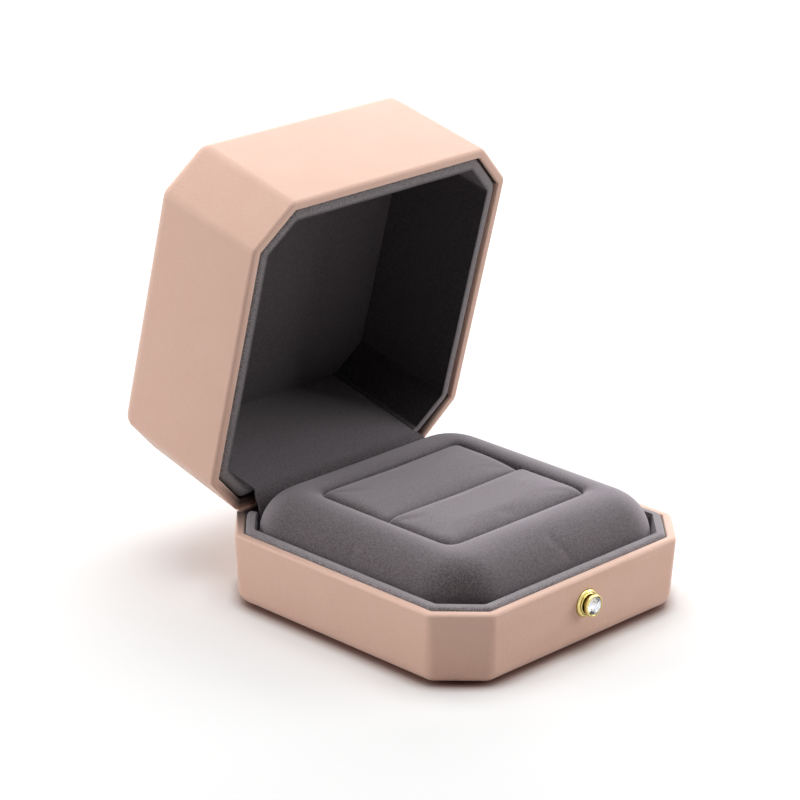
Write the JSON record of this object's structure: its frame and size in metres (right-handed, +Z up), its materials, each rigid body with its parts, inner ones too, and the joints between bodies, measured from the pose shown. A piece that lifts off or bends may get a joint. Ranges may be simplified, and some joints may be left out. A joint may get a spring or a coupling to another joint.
{
  "type": "jewellery case",
  "caption": "Octagonal leather ring case shown open, with a microfibre lining, a slotted ring cushion, a sprung hinge and a jewelled push button.",
  "frame": {"origin": "middle of the base's underside, on the table", "axes": "+X to the right seen from the front, +Y from the button to the hinge, +Z up"},
  "size_m": [0.068, 0.0965, 0.0867],
  "materials": {
    "leather": "satin",
    "microfibre": "matt",
    "shell": "matt",
    "board": "matt",
    "steel": "satin",
    "gold": "polished",
    "crystal": "polished"
  },
  "bodies": {
    "base": {"base_shell": "shell", "base_leather": "leather", "base_underside_cloth": "microfibre", "base_collar": "microfibre", "cushion_board": "board", "cushion": "microfibre", "ring_roll_front": "microfibre", "ring_roll_rear": "microfibre", "hinge_base_leaf": "steel", "base_rivets": "steel", "hinge_pin": "steel", "hinge_snap_spring": "steel", "hinge_flap_tail": "microfibre", "hinge_flap_bend": "microfibre", "button_bezel": "gold", "button_nut": "gold"},
    "lid": {"lid_shell": "shell", "lid_leather": "leather", "lid_lining": "microfibre", "lid_ceiling_pad": "microfibre", "hinge_flap_panel": "microfibre", "hinge_lid_leaf": "steel", "lid_rivets": "steel"},
    "button": {"button_plunger": "gold", "button_crystal": "crystal", "button_clip": "steel", "button_spring": "steel"}
  },
  "joints": [
    {"name": "lid_hinge", "type": "hinge", "parent": "base", "child": "lid", "pos_m": [0, 0.034, 0.015], "axis": [1, 0, 0], "range_deg": [0, 76.3], "deforming": ["hinge_snap_spring", "hinge_flap_bend"]},
    {"name": "button_press", "type": "slide", "parent": "base", "child": "button", "axis": [0, 1, 0], "range_m": [0, 0.00055], "stiffness_N_per_m": 1000, "springref_m": -0.0005, "deforming": ["button_spring"]}
  ]
}
